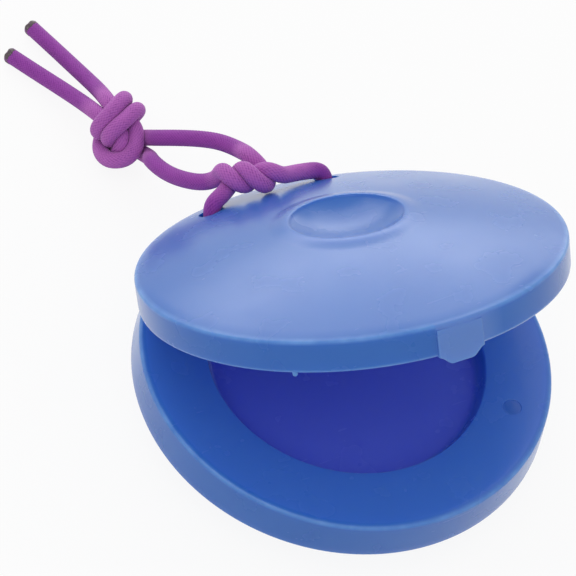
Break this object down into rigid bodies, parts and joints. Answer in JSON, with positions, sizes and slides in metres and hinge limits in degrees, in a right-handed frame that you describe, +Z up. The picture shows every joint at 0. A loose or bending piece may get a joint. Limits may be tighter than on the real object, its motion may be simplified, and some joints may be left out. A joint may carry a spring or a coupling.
{
  "type": "finger castanets",
  "caption": "Pair of moulded plastic finger castanets hinged and sprung open by a knotted elastic cord with a loop and loose tails",
  "frame": {"origin": "On the table, under the middle of the two shells' common box", "axes": "+Z up, the axis of the lower shell. The mouth opens towards -Y, the heel and the cord are towards +Y. +X runs along the hinge line"},
  "size_m": [0.0562, 0.1036, 0.0392],
  "materials": {
    "moulded_plastic": "satin, smooth from the mould",
    "woven_elastic": "fine round weave, dull"
  },
  "bodies": {
    "lower": {"lower_shell": "moulded_plastic", "cord_under_loop": "woven_elastic"},
    "upper": {"upper_shell": "moulded_plastic", "cord_left_strand": "woven_elastic", "cord_right_strand": "woven_elastic"}
  },
  "joints": [
    {"name": "heel_hinge", "type": "hinge", "parent": "lower", "child": "upper", "pos_m": [0, 0.01988, 0.01014], "axis": [1, 0, 0], "range_deg": [0, 31.3], "stiffness_Nm_per_rad": 0.02, "springref_deg": -20.05}
  ]
}
